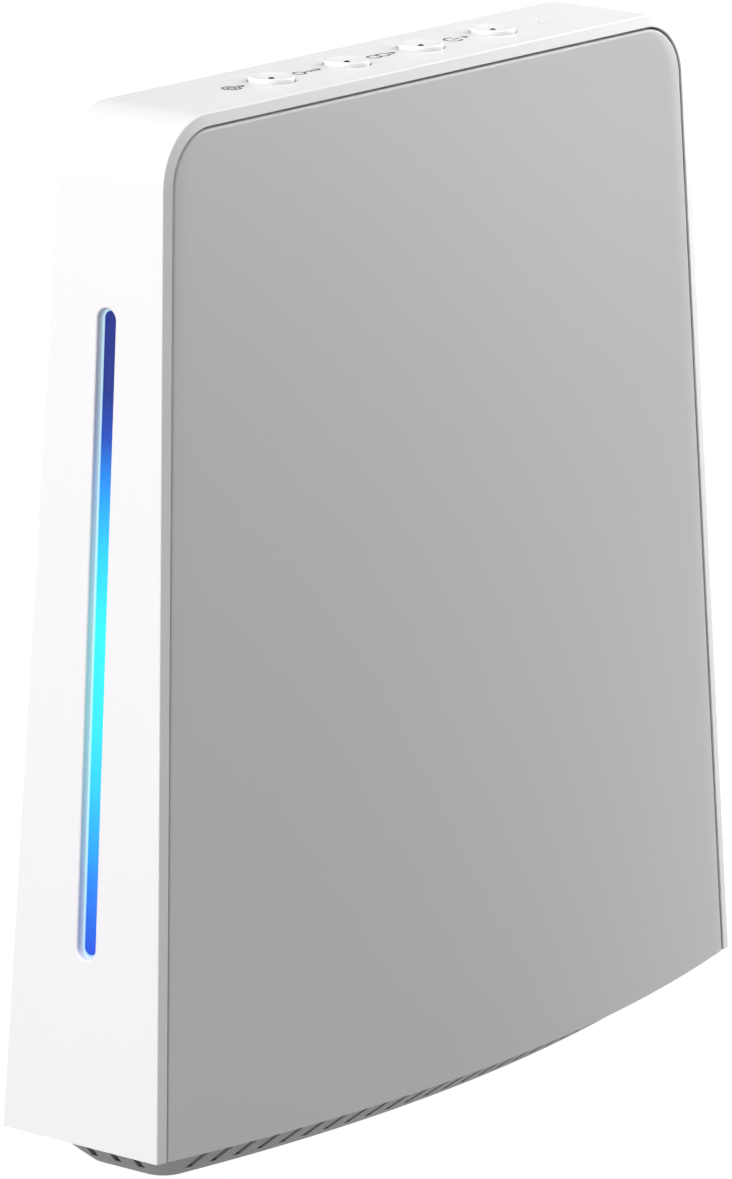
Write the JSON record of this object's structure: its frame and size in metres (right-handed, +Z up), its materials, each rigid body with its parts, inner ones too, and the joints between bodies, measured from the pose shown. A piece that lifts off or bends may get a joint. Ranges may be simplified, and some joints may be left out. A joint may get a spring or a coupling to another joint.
{
  "type": "smart home hub",
  "caption": "Upright smart home hub: white band between two bowed grey panels on a vented tray, with a light bar in one side and press buttons on top.",
  "frame": {"origin": "on the surface that the hub stands on, under the centre of its box", "axes": "+Z up, +X towards the narrow side with the sockets, -Y out of the front panel, so the light bar faces -X"},
  "size_m": [0.096, 0.0318, 0.1075],
  "materials": {
    "white_shell": "satin moulded plastic",
    "grey_panel": "satin painted plastic",
    "grey_tray": "matt moulded plastic",
    "rubber_foot": "matt",
    "light_lens": "glowing diffuser",
    "white_reflector": "matt",
    "circuit_board": "solder mask",
    "led_chip": "phosphor",
    "flat_cable": "satin film",
    "smoked_pin": "smoked",
    "black_plastic": "matt",
    "plug_housing": "matt nylon",
    "chip_package": "epoxy",
    "thermal_gel": "soft pad",
    "sink_aluminium": "extruded",
    "plated_steel": "plated",
    "gold_contact": "gold plated",
    "red_plastic": "matt",
    "blue_plastic": "matt",
    "speaker_paper": "pressed cone",
    "foam": "closed-cell foam",
    "lead_sleeve": "sleeved wire",
    "coax_sleeve": "sleeved coax",
    "ferrite": "ferrite"
  },
  "bodies": {
    "housing": {"shell_band": "white_shell", "front_panel": "grey_panel", "rear_panel": "grey_panel", "base_tray": "grey_tray", "rubber_feet": "rubber_foot", "tray_screws": "plated_steel", "light_lens": "light_lens", "light_box": "white_reflector", "led_board": "circuit_board", "led_chips": "led_chip", "led_ribbon": "flat_cable", "switch_bodies": "black_plastic", "switch_leds": "led_chip", "button_board": "circuit_board", "button_board_screws": "plated_steel", "button_ribbon": "flat_cable", "microphone": "plated_steel", "microphone_gasket": "foam", "main_board": "circuit_board", "board_screws": "plated_steel", "board_connectors": "plug_housing", "processor": "chip_package", "memory_chips": "chip_package", "thermal_pad": "thermal_gel", "heat_sink": "sink_aluminium", "wifi_module": "plated_steel", "mesh_radio_module": "plated_steel", "power_coils": "ferrite", "antenna_strips": "circuit_board", "antenna_leads": "coax_sleeve", "rj45_jack": "black_plastic", "rj45_contacts": "gold_contact", "usb_a_shell": "plated_steel", "usb_a_tongue": "blue_plastic", "usb_c_shell": "plated_steel", "usb_c_tongue": "black_plastic", "reset_switch": "black_plastic", "speaker_basket": "black_plastic", "speaker_cone": "speaker_paper", "speaker_magnet": "plated_steel", "speaker_gasket": "foam", "speaker_screws": "plated_steel", "speaker_leads": "lead_sleeve"},
    "settings_button": {"settings_cap": "white_shell", "settings_light_pin": "smoked_pin", "settings_plunger": "black_plastic"},
    "lock_button": {"lock_cap": "white_shell", "lock_light_pin": "smoked_pin", "lock_plunger": "black_plastic"},
    "pairing_button": {"pairing_cap": "white_shell", "pairing_light_pin": "smoked_pin", "pairing_plunger": "black_plastic"},
    "power_button": {"power_cap": "white_shell", "power_light_pin": "smoked_pin", "power_plunger": "black_plastic"},
    "reset_button": {"reset_plunger": "red_plastic"}
  },
  "joints": [
    {"name": "settings_press", "type": "slide", "parent": "housing", "child": "settings_button", "axis": [0, 0, -1], "range_m": [0, 0.0003], "stiffness_N_per_m": 2000, "springref_m": -0.0003},
    {"name": "lock_press", "type": "slide", "parent": "housing", "child": "lock_button", "axis": [0, 0, -1], "range_m": [0, 0.0003], "stiffness_N_per_m": 2000, "springref_m": -0.0003},
    {"name": "pairing_press", "type": "slide", "parent": "housing", "child": "pairing_button", "axis": [0, 0, -1], "range_m": [0, 0.0003], "stiffness_N_per_m": 2000, "springref_m": -0.0003},
    {"name": "power_press", "type": "slide", "parent": "housing", "child": "power_button", "axis": [0, 0, -1], "range_m": [0, 0.0003], "stiffness_N_per_m": 2000, "springref_m": -0.0003},
    {"name": "reset_press", "type": "slide", "parent": "housing", "child": "reset_button", "axis": [-1, 0, 0], "range_m": [0, 0.00025], "stiffness_N_per_m": 2000, "springref_m": -0.0003}
  ]
}
